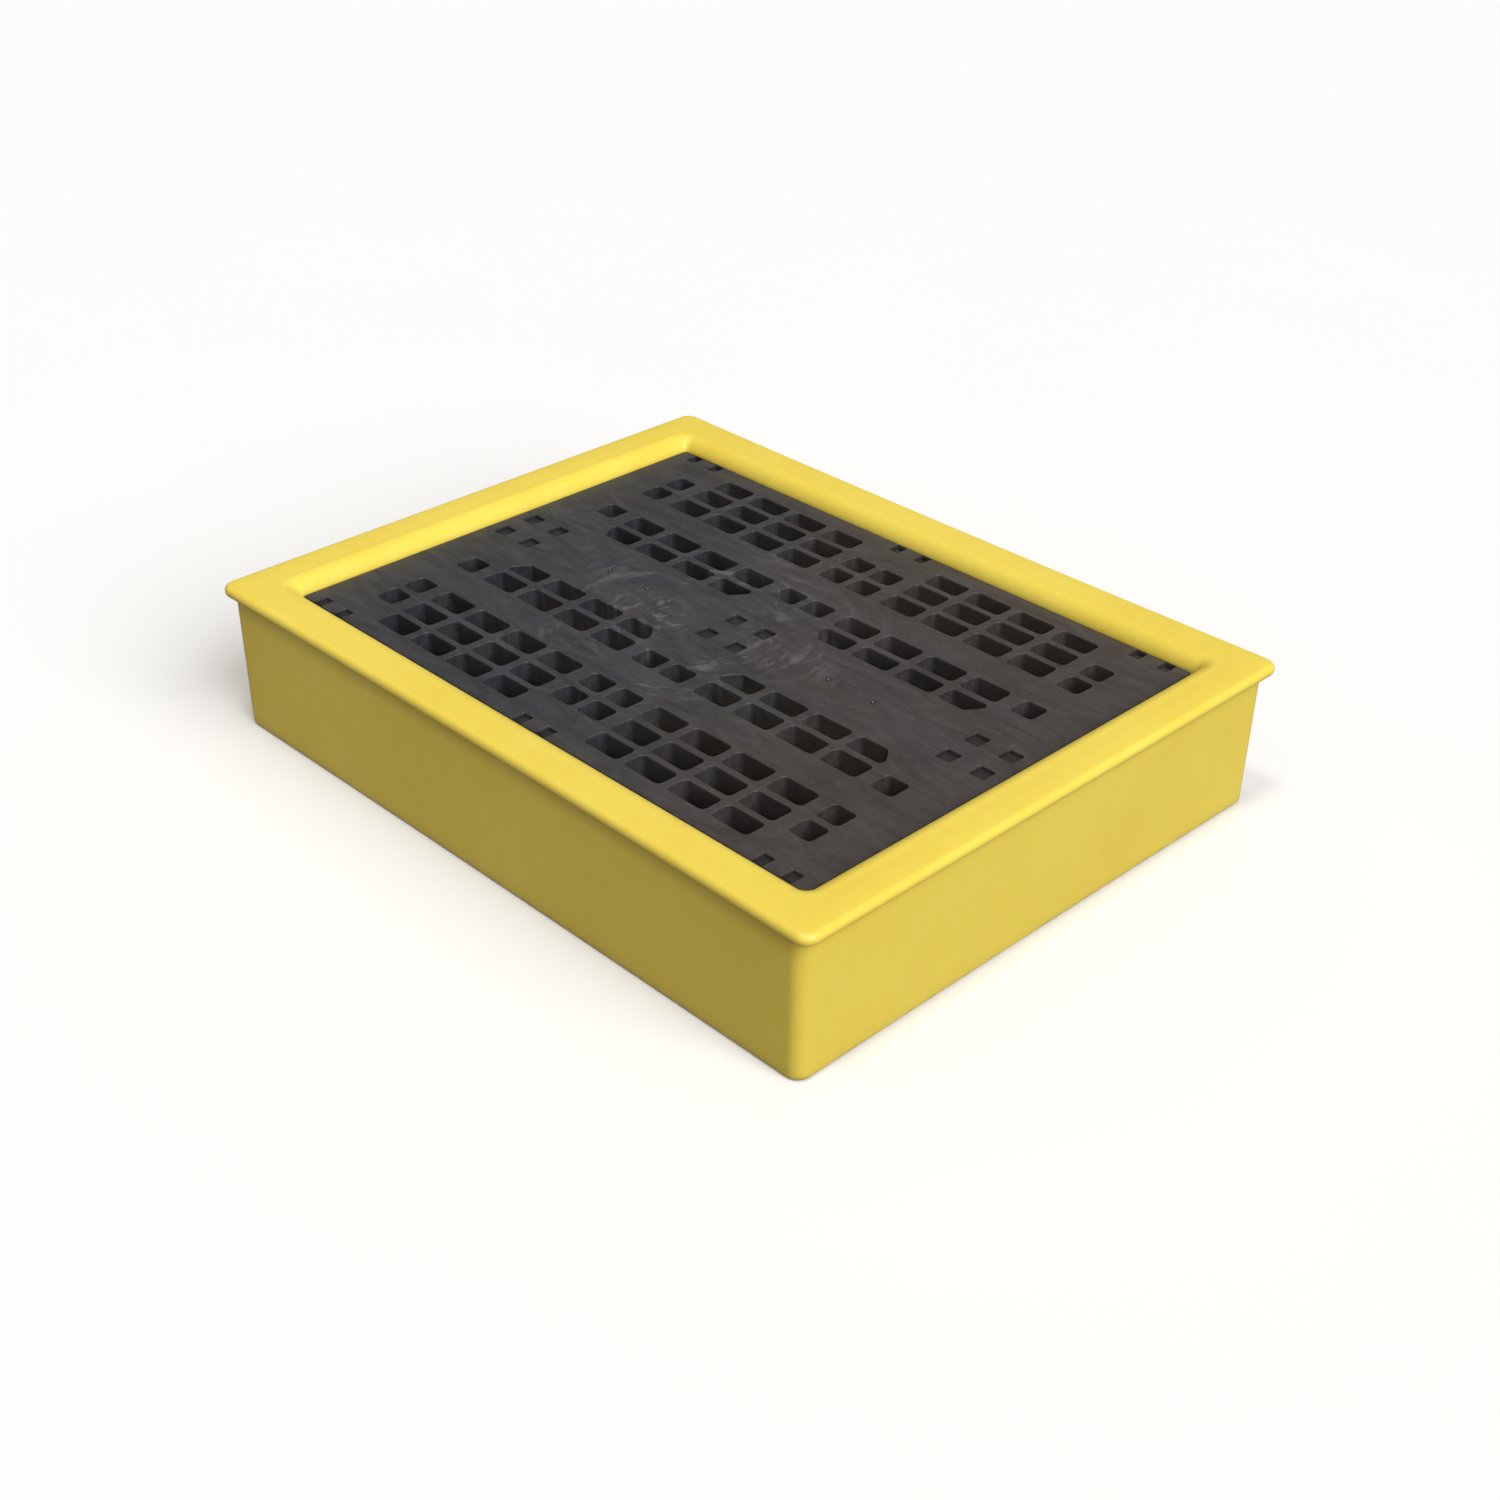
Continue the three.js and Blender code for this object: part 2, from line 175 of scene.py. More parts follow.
def grown(outline: Array, distance: float) -> Array:
    """An outline moved outwards by a distance, along the mitre of its neighbouring edges.

    Args:
        outline: (n, 2) anticlockwise points.
        distance: How far out, or in where negative.

    Returns:
        (n, 2) moved points.
    """
    ahead = np.roll(outline, -1, axis=0) - outline
    ahead /= np.linalg.norm(ahead, axis=1, keepdims=True)
    normal = np.stack([ahead[:, 1], -ahead[:, 0]], axis=1)
    both = normal + np.roll(normal, 1, axis=0)
    return outline + distance * both * (2 / (both**2).sum(axis=1, keepdims=True))


def inside(points: Array, outline: Array) -> Array:
    """Which points lie inside an outline, by counting the edges crossed by a ray along +X.

    Args:
        points: (n, 2) places.
        outline: (m, 2) closed outline.

    Returns:
        (n,) True where inside.
    """
    low, high = outline.min(axis=0), outline.max(axis=0)
    near = np.flatnonzero(((points > low) & (points < high)).all(axis=1))
    x, y = points[near, 0][:, None], points[near, 1][:, None]
    x0, y0 = outline[:, 0][None, :], outline[:, 1][None, :]
    x1, y1 = np.roll(x0, -1, axis=1), np.roll(y0, -1, axis=1)
    spans = (y0 > y) != (y1 > y)
    rise = np.where(y1 == y0, 1.0, y1 - y0)
    crosses = spans & (x < x0 + (y - y0) * (x1 - x0) / rise)
    found = np.zeros(len(points), bool)
    found[near] = crosses.sum(axis=1) % 2 == 1
    return found


@dataclass
class LayeredSolid:
    """A moulding drawn as outlines in plan, each adding or cutting material between two heights.

    The plan is one triangulation that keeps every outline. Each of its triangles is full or
    empty in each layer, and the surface is where full meets empty: flats between layers, and
    walls carried along the outlines. The top and bottom edges are rounded by moving the
    outline points along their mitre by radius x (1 - cos t) at the height radius x sin t.
    """

    top: float
    bottom: float
    top_radius: float = 0.0012
    bottom_radius: float = 0.0
    support: float = 0.0005
    steps: int = 3
    work: list[tuple[Work, Array, float, float]] = field(default_factory=list)
    marks: list[Array] = field(default_factory=list)
    heights: list[float] = field(default_factory=list)

    def add(self, outline: Array, low: float, high: float) -> None:
        """Fills an outline between two heights."""
        self.work.append((Work.ADD, outline, low, high))

    def cut(self, outline: Array, low: float, high: float) -> None:
        """Empties an outline between two heights."""
        self.work.append((Work.CUT, outline, low, high))

    def mark(self, outline: Array) -> None:
        """Keeps an outline in the plan without changing the solid."""
        self.marks.append(outline)

    def _plan(self) -> tuple[Array, Array]:
        """Triangulates the plan.

        Returns:
            (n, 2) nodes and (m, 3) anticlockwise triangles.
        """
        edge = self.top_radius + self.support
        outlines = [outline for _, outline, _, _ in self.work] + self.marks
        for kind, outline, _, high in self.work:
            if high >= self.top:
                outlines.append(grown(outline, edge if kind is Work.CUT else -edge))
        points = np.concatenate(outlines)
        counts = np.array([len(outline) for outline in outlines])
        first = np.repeat(np.cumsum(counts) - counts, counts)
        index = np.arange(len(points))
        following = np.where(index + 1 == first + np.repeat(counts, counts), first, index + 1)
        found = delaunay_2d_cdt(
            [Vector(p) for p in points], np.stack([index, following], 1).tolist(), [], 0, 1e-6
        )
        nodes = np.array([tuple(v) for v in found[0]])
        triangles = np.array([f for f in found[2] if len(f) == 3])
        a, b, c = nodes[triangles[:, 0]], nodes[triangles[:, 1]], nodes[triangles[:, 2]]
        ab, ac = b - a, c - a
        area = ab[:, 0] * ac[:, 1] - ab[:, 1] * ac[:, 0]
        triangles = triangles[np.abs(area) > 1e-12]
        area = area[np.abs(area) > 1e-12]
        return nodes, np.where(area[:, None] < 0, triangles[:, ::-1], triangles)

    def _levels(self) -> tuple[Array, Array]:
        """Heights of all layers and how far each moves the rounded edges.

        Returns:
            (k,) heights from the bottom up, and (k, 2) edge moves for bottom and top.
        """
        turn = np.linspace(0, math.pi / 2, self.steps + 1)
        heights = self.heights + [z for _, _, low, high in self.work for z in (low, high)]
        rows = [np.clip(heights, self.bottom, self.top)]
        if self.top_radius:
            rows.append(self.top - self.top_radius * (1 - np.sin(turn)))
        if self.bottom_radius:
            rows.append(self.bottom + self.bottom_radius * (1 - np.sin(turn)))
        z = np.unique(np.round(np.concatenate(rows), 7))
        moves = np.zeros((len(z), 2))
        for side, (radius, edge) in enumerate(
            [(self.bottom_radius, z - self.bottom), (self.top_radius, self.top - z)]
        ):
            if radius:
                sine = np.clip(1 - edge / radius, 0, 1)
                moves[:, side] = radius * (1 - np.sqrt(1 - sine**2))
        return z, moves

    def _mitre(self, nodes: Array, triangles: Array, full: Array) -> Array:
        """For each node on the border of a layer, the mitre towards the full side.

        Args:
            nodes: (n, 2) nodes.
            triangles: (m, 3) triangles.
            full: (m,) which triangles are full in the layer.

        Returns:
            (n, 2) mitre of unit offset, zero away from the border.
        """
        kept = triangles[full]
        start = kept.ravel()
        end = np.roll(kept, -1, axis=1).ravel()
        key = start.astype(np.int64) * len(nodes) + end
        back = end.astype(np.int64) * len(nodes) + start
        border = ~np.isin(key, back)
        start, end = start[border], end[border]
        along = nodes[end] - nodes[start]
        along /= np.linalg.norm(along, axis=1, keepdims=True)
        inward = np.stack([-along[:, 1], along[:, 0]], axis=1)
        total = np.zeros((len(nodes), 2))
        np.add.at(total, start, inward)
        np.add.at(total, end, inward)
        square = (total**2).sum(axis=1, keepdims=True)
        return np.where(square > 1e-9, total * 2 / np.maximum(square, 1e-9), 0)

    def surface(self) -> tuple[Array, list[Array]]:
        """Works out the whole closed surface.

        Returns:
            (n, 3) vertex places and the face index arrays.
        """
        nodes, triangles = self._plan()
        z, moves = self._levels()
        centres = nodes[triangles].mean(axis=1)
        full = np.zeros((len(z) + 1, len(triangles)), bool)
        middle = (z[:-1] + z[1:]) / 2
        for kind, outline, low, high in self.work:
            within = inside(centres, outline)
            layers = np.flatnonzero((middle > low) & (middle < high)) + 1
            full[np.ix_(layers, np.flatnonzero(within))] = kind is Work.ADD
        lower = self._mitre(nodes, triangles, full[1])
        upper = self._mitre(nodes, triangles, full[-2])
        plan = nodes[None] + moves[:, :1, None] * lower[None] + moves[:, 1:, None] * upper[None]
        places = np.concatenate([plan, np.broadcast_to(z[:, None, None], plan.shape[:2] + (1,))], 2)
        count = len(nodes)
        flats = []
        walls = []
        edges = np.stack([triangles, np.roll(triangles, -1, axis=1)], axis=-1).reshape(-1, 2)
        owner = np.repeat(np.arange(len(triangles)), 3)
        key = edges[:, 0].astype(np.int64) * count + edges[:, 1]
        back = edges[:, 1].astype(np.int64) * count + edges[:, 0]
        order = np.argsort(key)
        place = np.clip(np.searchsorted(key[order], back), 0, len(key) - 1)
        twin = order[place]
        paired = key[twin] == back
        for level in range(len(z)):
            below, above = full[level], full[level + 1]
            flats.append(triangles[below & ~above] + level * count)
            flats.append(triangles[above & ~below][:, ::-1] + level * count)
            if level + 1 == len(z):
                break
            other = np.where(paired, above[owner[twin]], False)
            wall = edges[above[owner] & ~other]
            low, high = wall + level * count, wall + (level + 1) * count
            walls.append(np.stack([low[:, 0], low[:, 1], high[:, 1], high[:, 0]], axis=1))
        parts = [np.concatenate(flats), np.concatenate(walls)]
        used, renumbered = np.unique(np.concatenate([p.ravel() for p in parts]), return_inverse=True)
        split = len(parts[0]) * 3
        faces = [renumbered[:split].reshape(-1, 3), renumbered[split:].reshape(-1, 4)]
        return places.reshape(-1, 3)[used], faces


# ---- finishes --------------------------------------------------------------------------
class Bench:
    """A node tree being wired up for one material."""

    def __init__(self, name: str) -> None:
        """Starts a material with an empty tree and its output.

        Args:
            name: The material's name.
        """
        self.material = bpy.data.materials.new(name)
        self.material.use_nodes = True
        self.tree = self.material.node_tree
        self.tree.nodes.clear()
        self.shader = self.node("ShaderNodeBsdfPrincipled")
        output = self.node("ShaderNodeOutputMaterial")
        self.tree.links.new(self.shader.outputs["BSDF"], output.inputs["Surface"])
        self.place = self.node("ShaderNodeTexCoord").outputs["Object"]

    def node(self, kind: str, **settings: object) -> bpy.types.Node:
        """Adds a node and sets its properties.

        Args:
            kind: The node type.
            **settings: Properties to set on it.

        Returns:
            The new node.
        """
        made = self.tree.nodes.new(kind)
        for key, value in settings.items():
            setattr(made, key, value)
        return made

    def feed(self, made: bpy.types.Node, **inputs: object) -> bpy.types.Node:
        """Sets or links a node's inputs, named with _ for a space.

        Args:
            made: The node.
            **inputs: A value, or an output socket to link.

        Returns:
            The same node.
        """
        for key, value in inputs.items():
            socket = made.inputs[int(key[1:]) if key[1:].isdigit() else key.replace("_", " ")]
            if isinstance(value, bpy.types.NodeSocket):
                self.tree.links.new(value, socket)
            else:
                socket.default_value = value
        return made

    def stretched(self, scale: tuple[float, float, float], turn: float = 0.0) -> bpy.types.NodeSocket:
        """Object coordinates turned about Z and scaled per axis.

        Args:
            scale: Scale along x, y and z.
            turn: Turn about Z in radians.

        Returns:
            The coordinates.
        """
        made = self.feed(self.node("ShaderNodeMapping"), Vector=self.place, Scale=scale)
        made.inputs["Rotation"].default_value = (0.0, 0.0, turn)
        return made.outputs[0]

    def noise(
        self,
        scale: float,
        detail: float = 3.0,
        rough: float = 0.5,
        warp: float = 0.0,
        place: bpy.types.NodeSocket | None = None,
    ) -> bpy.types.NodeSocket:
        """Fractal noise over the piece, 0 to 1 about 0.5.

        Args:
            scale: Features per metre.
            detail: Number of octaves.
            rough: Strength of each further octave.
            warp: How much the noise is bent by itself.
            place: Coordinates, or None for the piece's own.

        Returns:
            The noise value.
        """
        made = self.feed(
            self.node("ShaderNodeTexNoise"),
            Vector=place or self.place,
            Scale=scale,
            Detail=detail,
            Roughness=rough,
            Distortion=warp,
        )
        return made.outputs["Fac"]

    def between(self, value: bpy.types.NodeSocket, low: float, high: float) -> bpy.types.NodeSocket:
        """A soft step from 0 at low to 1 at high.

        Args:
            value: The value to step.
            low: Where the step starts.
            high: Where it ends.

        Returns:
            The step, 0 to 1.
        """
        made = self.node("ShaderNodeMapRange", interpolation_type="SMOOTHSTEP")
        self.feed(made, Value=value, From_Min=low, From_Max=high)
        return made.outputs[0]

    def spread(
        self, value: bpy.types.NodeSocket, low: float, high: float, out: tuple[float, float]
    ) -> bpy.types.NodeSocket:
        """A straight ramp from out[0] at low to out[1] at high.

        Args:
            value: The value to ramp.
            low: Where the ramp starts.
            high: Where it ends.
            out: Values at both ends.

        Returns:
            The ramped value.
        """
        made = self.feed(
            self.node("ShaderNodeMapRange"),
            Value=value,
            From_Min=low,
            From_Max=high,
            To_Min=out[0],
            To_Max=out[1],
        )
        return made.outputs[0]

    def sum(self, kind: str, a: object, b: object) -> bpy.types.NodeSocket:
        """Two values joined by a math operation."""
        return self.feed(self.node("ShaderNodeMath", operation=kind), _0=a, _1=b).outputs[0]

    def blend(self, share: object, a: object, b: object, kind: str = "MIX") -> bpy.types.NodeSocket:
        """Two colours mixed by a share.

        Args:
            share: Share of the second colour, 0 to 1.
            a: The first colour.
            b: The second colour.
            kind: How they are mixed.

        Returns:
            The mixed colour.
        """
        made = self.node("ShaderNodeMix", data_type="RGBA", blend_type=kind)
        self.feed(made, _0=share, _6=a, _7=b)
        return made.outputs[2]

    def bump(
        self, height: bpy.types.NodeSocket, strength: float, depth: float, under: object = None
    ) -> bpy.types.NodeSocket:
        """A bump of the given depth in metres, laid over another.

        Args:
            height: The height pattern.
            strength: Strength, 0 to 1.
            depth: Depth in metres, inwards where negative.
            under: The normal that it is laid over.

        Returns:
            The bumped normal.
        """
        made = self.feed(
            self.node("ShaderNodeBump"), Height=height, Strength=strength, Distance=depth
        )
        if under is not None:
            self.feed(made, Normal=under)
        return made.outputs[0]


@dataclass(frozen=True)
class YellowPolyethylene:
    """Rotationally moulded yellow polyethylene: satin gloss, faint clouding and orange peel."""

    colour: tuple[float, float, float, float] = (0.81, 0.64, 0.088, 1.0)
    pale: tuple[float, float, float, float] = (0.85, 0.70, 0.14, 1.0)
    deep: tuple[float, float, float, float] = (0.785, 0.60, 0.070, 1.0)
    grime: tuple[float, float, float, float] = (0.42, 0.30, 0.08, 1.0)
    roughness: tuple[float, float] = (0.30, 0.44)

    def build(self) -> bpy.types.Material:
        """Wires the material.

        Returns:
            The material.
        """
        bench = Bench("yellow_polyethylene")
        cloud = bench.noise(3.2, detail=3, rough=0.55)
        mottle = bench.noise(38, detail=4, rough=0.6)
        peel = bench.noise(620, detail=2)
        pores = bench.node("ShaderNodeTexVoronoi", feature="F1")
        bench.feed(pores, Vector=bench.place, Scale=240.0)
        pit = bench.between(pores.outputs["Distance"], 0.16, 0.04)
        rare = bench.between(bench.noise(90, detail=1), 0.60, 0.66)
        pinhole = bench.sum("MULTIPLY", pit, rare)
        rub = bench.noise(1, 5, 0.65, place=bench.stretched((7, 60, 30), 0.35))
        scuff = bench.sum(
            "MULTIPLY", bench.between(rub, 0.60, 0.72), bench.between(cloud, 0.50, 0.62)
        )
        colour = bench.blend(bench.between(cloud, 0.30, 0.70), self.deep, self.colour)
        colour = bench.blend(bench.spread(mottle, 0.3, 0.7, (0.0, 0.22)), colour, self.pale)
        colour = bench.blend(bench.sum("MULTIPLY", scuff, 0.30), colour, self.pale)
        apart = bench.node("ShaderNodeSeparateXYZ")
        bench.feed(apart, Vector=bench.place)
        foot = bench.between(apart.outputs[2], 0.016, 0.0)
        smear = bench.sum("MULTIPLY", foot, bench.between(mottle, 0.40, 0.62))
        dirt = bench.sum("MAXIMUM", bench.sum("MULTIPLY", smear, 0.5), pinhole)
        colour = bench.blend(dirt, colour, self.grime)
        rough = bench.spread(bench.noise(16, detail=4, rough=0.6), 0.3, 0.7, self.roughness)
        rough = bench.sum("ADD", rough, bench.sum("MULTIPLY", scuff, 0.12))
        waves = bench.bump(bench.noise(9, detail=2), 0.35, 0.0016)
        fine = bench.bump(peel, 0.16, 0.0003, waves)
        bench.feed(
            bench.shader,
            Base_Color=colour,
            Roughness=rough,
            IOR=1.5,
            Subsurface_Weight=0.22,
            Subsurface_Radius=(1.0, 0.42, 0.10),
            Subsurface_Scale=0.014,
            Normal=bench.bump(pinhole, 0.5, -0.0004, fine),
        )
        return bench.material


@dataclass(frozen=True)
class CharcoalPolyethylene:
    """Charcoal recycled polyethylene with flow marks and, on the deck, pale wisps round the
    middle and four small gate marks, each with a painted shadow ring and a painted highlight
    speck. Random warm patches are also pushed warmer and lighter towards +X and +Y, a painted
    sheen on that side.
    """

    name: str
    # cool and warm: random tone patches; warm is also the painted sheen on the +X and +Y side
    cool: tuple[float, float, float, float] = (0.021, 0.0225, 0.0285, 1.0)
    warm: tuple[float, float, float, float] = (0.038, 0.030, 0.0285, 1.0)
    # Pale colour of the flow marks, specks and wisps, and also of the painted highlight speck on each
    # gate mark
    chalk_and_highlight: tuple[float, float, float, float] = (0.19, 0.19, 0.205, 1.0)
    # Painted shadow: the dark ring round each gate mark
    painted_shadow_ring: tuple[float, float, float, float] = (0.012, 0.012, 0.013, 1.0)
    roughness: tuple[float, float] = (0.36, 0.52)
    scuffed: float = 0.0
    hub: tuple[float, float, float] = (-0.07, -0.03, 0.2455)
    gates: tuple[float, ...] = ()

    def _swirls(self, bench: Bench) -> bpy.types.NodeSocket:
        """Pale wisps bent round the hub.

        Noise over (direction from the hub x turn, distance from the hub x reach), so that its
        streaks run along circles about the hub, broken up by a second noise and faded out.

        Args:
            bench: The material being wired.

        Returns:
            The share of pale colour.
        """
        away = bench.node("ShaderNodeVectorMath", operation="SUBTRACT")
        bench.feed(away, _0=bench.place, _1=self.hub)
        length = bench.node("ShaderNodeVectorMath", operation="LENGTH")
        bench.feed(length, _0=away.outputs[0])
        unit = bench.node("ShaderNodeVectorMath", operation="NORMALIZE")
        bench.feed(unit, _0=away.outputs[0])
        reach = length.outputs["Value"]
        found = None
        for turn, rate, low, high in ((2.4, 42.0, 0.50, 0.72), (5.0, 95.0, 0.54, 0.74)):
            spoke = bench.node("ShaderNodeVectorMath", operation="SCALE")
            bench.feed(spoke, _0=unit.outputs[0], Scale=turn)
            parts = bench.feed(bench.node("ShaderNodeSeparateXYZ"), Vector=spoke.outputs[0])
            bent = bench.node("ShaderNodeCombineXYZ")
            rise = bench.sum("MULTIPLY", reach, rate)
            bench.feed(bent, X=parts.outputs[0], Y=parts.outputs[1], Z=rise)
            streak = bench.between(bench.noise(1, 3, 0.55, 0.45, place=bent.outputs[0]), low, high)
            found = streak if found is None else bench.sum("MAXIMUM", found, streak)
        broken = bench.between(bench.noise(11, detail=3, rough=0.5, warp=0.6), 0.42, 0.60)
        haze = bench.sum("MULTIPLY", bench.between(bench.noise(7, detail=3), 0.46, 0.72), 0.16)
        found = bench.sum("MAXIMUM", bench.sum("MULTIPLY", found, broken), haze)
        near = bench.between(reach, 0.40, 0.14)
        return bench.sum("MULTIPLY", bench.sum("MULTIPLY", found, near), self.scuffed)

    def _gates(self, bench: Bench) -> bpy.types.NodeSocket:
        """Distance to the nearest gate mark on the deck's long centre line.

        Args:
            bench: The material being wired.

        Returns:
            The distance in metres.
        """
        found = None
        for gate in self.gates:
            far = bench.node("ShaderNodeVectorMath", operation="DISTANCE")
            bench.feed(far, _0=bench.place, _1=(gate, 0.0, self.hub[2]))
            value = far.outputs["Value"]
            found = value if found is None else bench.sum("MINIMUM", found, value)
        return found

    def build(self) -> bpy.types.Material:
        """Wires the material.

        Returns:
            The material.
        """
        bench = Bench(self.name)
        apart = bench.node("ShaderNodeSeparateXYZ")
        bench.feed(apart, Vector=bench.place)
        patch = bench.noise(2.6, detail=3, rough=0.6)
        # Random warm patches plus a painted sheen: the tone is pushed warmer and lighter towards +X and
        # +Y
        across = bench.node("ShaderNodeMath", operation="MULTIPLY_ADD")
        bench.feed(across, _0=apart.outputs[1], _1=0.7, _2=apart.outputs[0])
        side = bench.spread(across.outputs[0], -0.8, 0.8, (-0.34, 0.34))
        tone_and_painted_sheen = bench.between(bench.sum("ADD", patch, side), 0.28, 0.74)
        colour = bench.blend(tone_and_painted_sheen, self.cool, self.warm)
        flow = bench.noise(1, 6, 0.62, 1.2, place=bench.stretched((9, 34, 14), 0.12))
        colour = bench.blend(bench.spread(flow, 0.35, 0.75, (0.0, 0.16)), colour, self.chalk_and_highlight)
        grain = bench.noise(480, detail=3)
        speck = bench.sum("MULTIPLY", bench.between(bench.noise(140, detail=5), 0.56, 0.74), 0.10)
        colour = bench.blend(speck, colour, self.chalk_and_highlight)
        rough = bench.spread(bench.noise(22, detail=5, rough=0.62), 0.3, 0.7, self.roughness)
        if self.scuffed:
            swirls = self._swirls(bench)
            colour = bench.blend(swirls, colour, self.chalk_and_highlight)
            rough = bench.sum("ADD", rough, bench.sum("MULTIPLY", swirls, 0.08))
        # Gate marks: a dark ring painted as the shadow round each raised dot, and a pale centre painted
        # as its highlight speck
        if self.gates:
            gate = self._gates(bench)
            colour = bench.blend(bench.between(gate, 0.0060, 0.0042), colour, self.painted_shadow_ring)
            colour = bench.blend(bench.between(gate, 0.0024, 0.0014), colour, self.chalk_and_highlight)
        normal = bench.bump(bench.noise(12, detail=3), 0.30, 0.0016)
        normal = bench.bump(flow, 0.30, 0.0007, normal)
        normal = bench.bump(grain, 0.30, 0.00025, normal)
        bench.feed(bench.shader, Base_Color=colour, Roughness=rough, IOR=1.5, Normal=normal)
        return bench.material


# ---- sump tray -------------------------------------------------------------------------
@dataclass
class SumpTray:
    """The double-walled tray: well with ledges and a ridge, broad rim, drafted walls."""

    node: str = "sump_tray"
    rim_end: float = 0.094
    rim_side: float = 0.095
    rim_corner: float = 0.026
    lip_radius: float = 0.0105
    end_overhang: float = 0.018
    side_overhang: float = 0.011
    wall_corner: float = 0.025
    wall_draft: float = 0.0025
    foot_radius: float = 0.008
    skin: float = 0.008
    well_corner: float = 0.008
    well_edge: float = 0.032
    ledge: float = 0.1462
    support_top: float = 0.0952
    ridge_half: float = 0.066
    ridge_gap: float = 0.041
    ridge_flare: float = 0.008
    rim_crown: float = 0.0008
    rim_pinch: float = 0.006
    base_pinch: float = 0.0024
    end_pinch: float = 0.0035
    fillets: tuple[float, float] = (0.010, 0.005)
    ledge_lean: float = 0.003
    grid_gap: float = 0.05
    well_foot: float = 0.02
    under_fillet: float = 0.004
    lip_to_wall: float = 0.012
    base_return: float = 0.006

    def __post_init__(self) -> None:
        """Takes the outer size from the frame."""
        low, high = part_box(self.node)
        self.rim = np.round(np.array([high[0], high[1]]), 6)
        self.top = round(high[2], 6)
        self.well = self.rim - (self.rim_end, self.rim_side)
        self.wall = self.rim - (self.end_overhang, self.side_overhang)

    def _step(self, face: float, lean: float) -> tuple[Array, Array]:
        """Section of a raised step: fillet, leaning face and rounded top edge.

        The concave fillet is (r sin t, r - r cos t), the top edge (r - r cos t, r sin t).

        Args:
            face: Distance of the top edge from the centre line.
            lean: How much further out the foot of the face is.

        Returns:
            Distances outwards from the top edge's side and heights above the floor, from the
            top down.
        """
        root, edge = self.fillets
        rise = self.support_top - self.skin
        turn = np.linspace(0, math.pi / 2, 6)
        upper = face - edge + edge * np.sin(turn)
        upper_z = rise - edge + edge * np.cos(turn)
        lower = face + lean + root * (1 - np.cos(turn))
        lower_z = root * (1 - np.sin(turn))
        return np.concatenate([upper, lower]), np.concatenate([upper_z, lower_z])

    def _lines(self, half: float, knots: list[Array], gap: float) -> Array:
        """Grid lines across the well: both corners, the given knots and an even fill.

        Args:
            half: Half of the well's size along the axis.
            knots: Distances from the centre that need a line on both sides.
            gap: Widest space left between lines.

        Returns:
            Sorted line places.
        """
        corner = half - self.well_corner * (1 - np.linspace(0, 1, 7))
        inner = [knot[knot < half - self.well_corner - 1e-4] for knot in knots]
        firm = np.unique(np.round(np.concatenate([[0.0], *inner, corner]), 6))
        counts = [max(2, math.ceil((b - a) / gap) + 1) for a, b in zip(firm, firm[1:])]
        fill = [np.linspace(a, b, count) for a, b, count in zip(firm, firm[1:], counts)]
        line = np.unique(np.concatenate(fill))
        return np.unique(np.concatenate([-line, line]))

    def _floor(self) -> tuple[Array, Array]:
        """The well's floor with its two ledges and the ridge, as a height over a grid.

        Height = floor + larger of ledge(x) and ridge(x) x ridge(y) / rise. In the corners the
        square grid is bent into a quarter disc: its distance is the larger of both shares and
        its angle runs evenly along the border.

        Returns:
            (nx, ny, 3) places, and the same grid's outward directions and straight shares as
            (nx, ny, 4) for the border.
        """
        rise = self.support_top - self.skin
        ledge_face = self.well[0] - self.ledge
        ledge_at, ledge_z = self._step(0.0, self.ledge_lean)
        ledge_at = ledge_face - ledge_at
        ridge_at, ridge_z = self._step(self.ridge_half, self.ridge_flare)
        end_at, end_z = self._step(self.well[1] - self.ridge_gap, self.ridge_flare)
        xs = self._lines(self.well[0], [ledge_at, ridge_at], self.grid_gap)
        ys = self._lines(self.well[1], [end_at], self.grid_gap)
        ledge = np.interp(np.abs(xs), ledge_at[::-1], ledge_z[::-1])
        ridge = np.interp(np.abs(xs), ridge_at, ridge_z)
        end = np.interp(np.abs(ys), end_at, end_z) / rise
        height = np.maximum(ledge[:, None], ridge[:, None] * end[None, :])
        x, y = np.meshgrid(xs, ys, indexing="ij")
        inner = self.well - self.well_corner
        a = np.round(np.clip((np.abs(x) - inner[0]) / self.well_corner, 0, 1), 3)
        b = np.round(np.clip((np.abs(y) - inner[1]) / self.well_corner, 0, 1), 3)
        corner = (a > 0) & (b > 0)
        big = np.maximum(np.maximum(a, b), 1e-9)
        angle = np.where(a >= b, b / big, 2 - a / big) * math.pi / 4
        bent_x = inner[0] + self.well_corner * big * np.cos(angle)
        bent_y = inner[1] + self.well_corner * big * np.sin(angle)
        px = np.where(corner, np.sign(x) * bent_x, x)
        py = np.where(corner, np.sign(y) * bent_y, y)
        places = np.stack([px, py, self.skin + height], axis=-1)
        out_x = np.where(corner, np.cos(angle), a >= 1) * np.sign(x)
        out_y = np.where(corner, np.sin(angle), b >= 1) * np.sign(y)
        share_x = np.clip(x / inner[0], -1, 1)
        share_y = np.clip(y / inner[1], -1, 1)
        return places, np.stack([out_x, out_y, share_x, share_y], axis=-1)

    def _profile(self) -> Array:
        """Section from the well's wall over the rim and down the outside.

        Rows of half length, half width, corner radius, height and how far out the row is
        (0 at the well, 1 outside), joined from circle arcs and straights.

        Returns:
            (k, 5) rows.
        """
        rows = []

        def row(half: Array, radius: float, z: float, out: float) -> None:
            """Adds one row of the section."""
            rows.append([half[0], half[1], radius, z, out])

